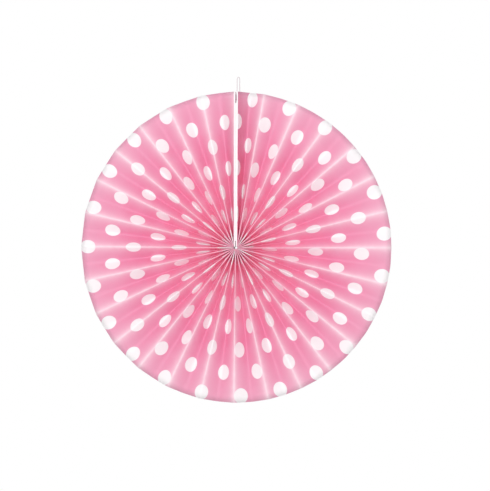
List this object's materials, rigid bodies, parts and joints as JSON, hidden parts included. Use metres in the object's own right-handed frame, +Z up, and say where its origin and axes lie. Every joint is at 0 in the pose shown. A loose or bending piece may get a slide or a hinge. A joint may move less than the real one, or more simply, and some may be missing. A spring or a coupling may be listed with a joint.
{
  "type": "paper fan",
  "caption": "Round hanging paper fan: one dotted paper strip pleated into a full circle, closed by two end cards and foam tape, with a thread loop to hang it by.",
  "frame": {"origin": "middle of the hub at half the fan's depth, which is the centre of the box round the paper", "axes": "+Z up from the hub, past the seam at the top, -Y out of the printed front towards the viewer, +X to the viewer's right"},
  "size_m": [0.4052, 0.0252, 0.425],
  "materials": {
    "printed_paper": "pink printed paper with white dots, faint sheen",
    "end_card": "white lined board, cut edges, matt",
    "foam_tape": "white foam, matt",
    "thread": "white twisted cotton thread"
  },
  "bodies": {
    "root": {"pleated_paper": "printed_paper", "right_end_card": "end_card", "left_end_card": "end_card", "foam_tape": "foam_tape", "centre_thread": "thread", "hanging_loop": "thread"}
  },
  "joints": []
}
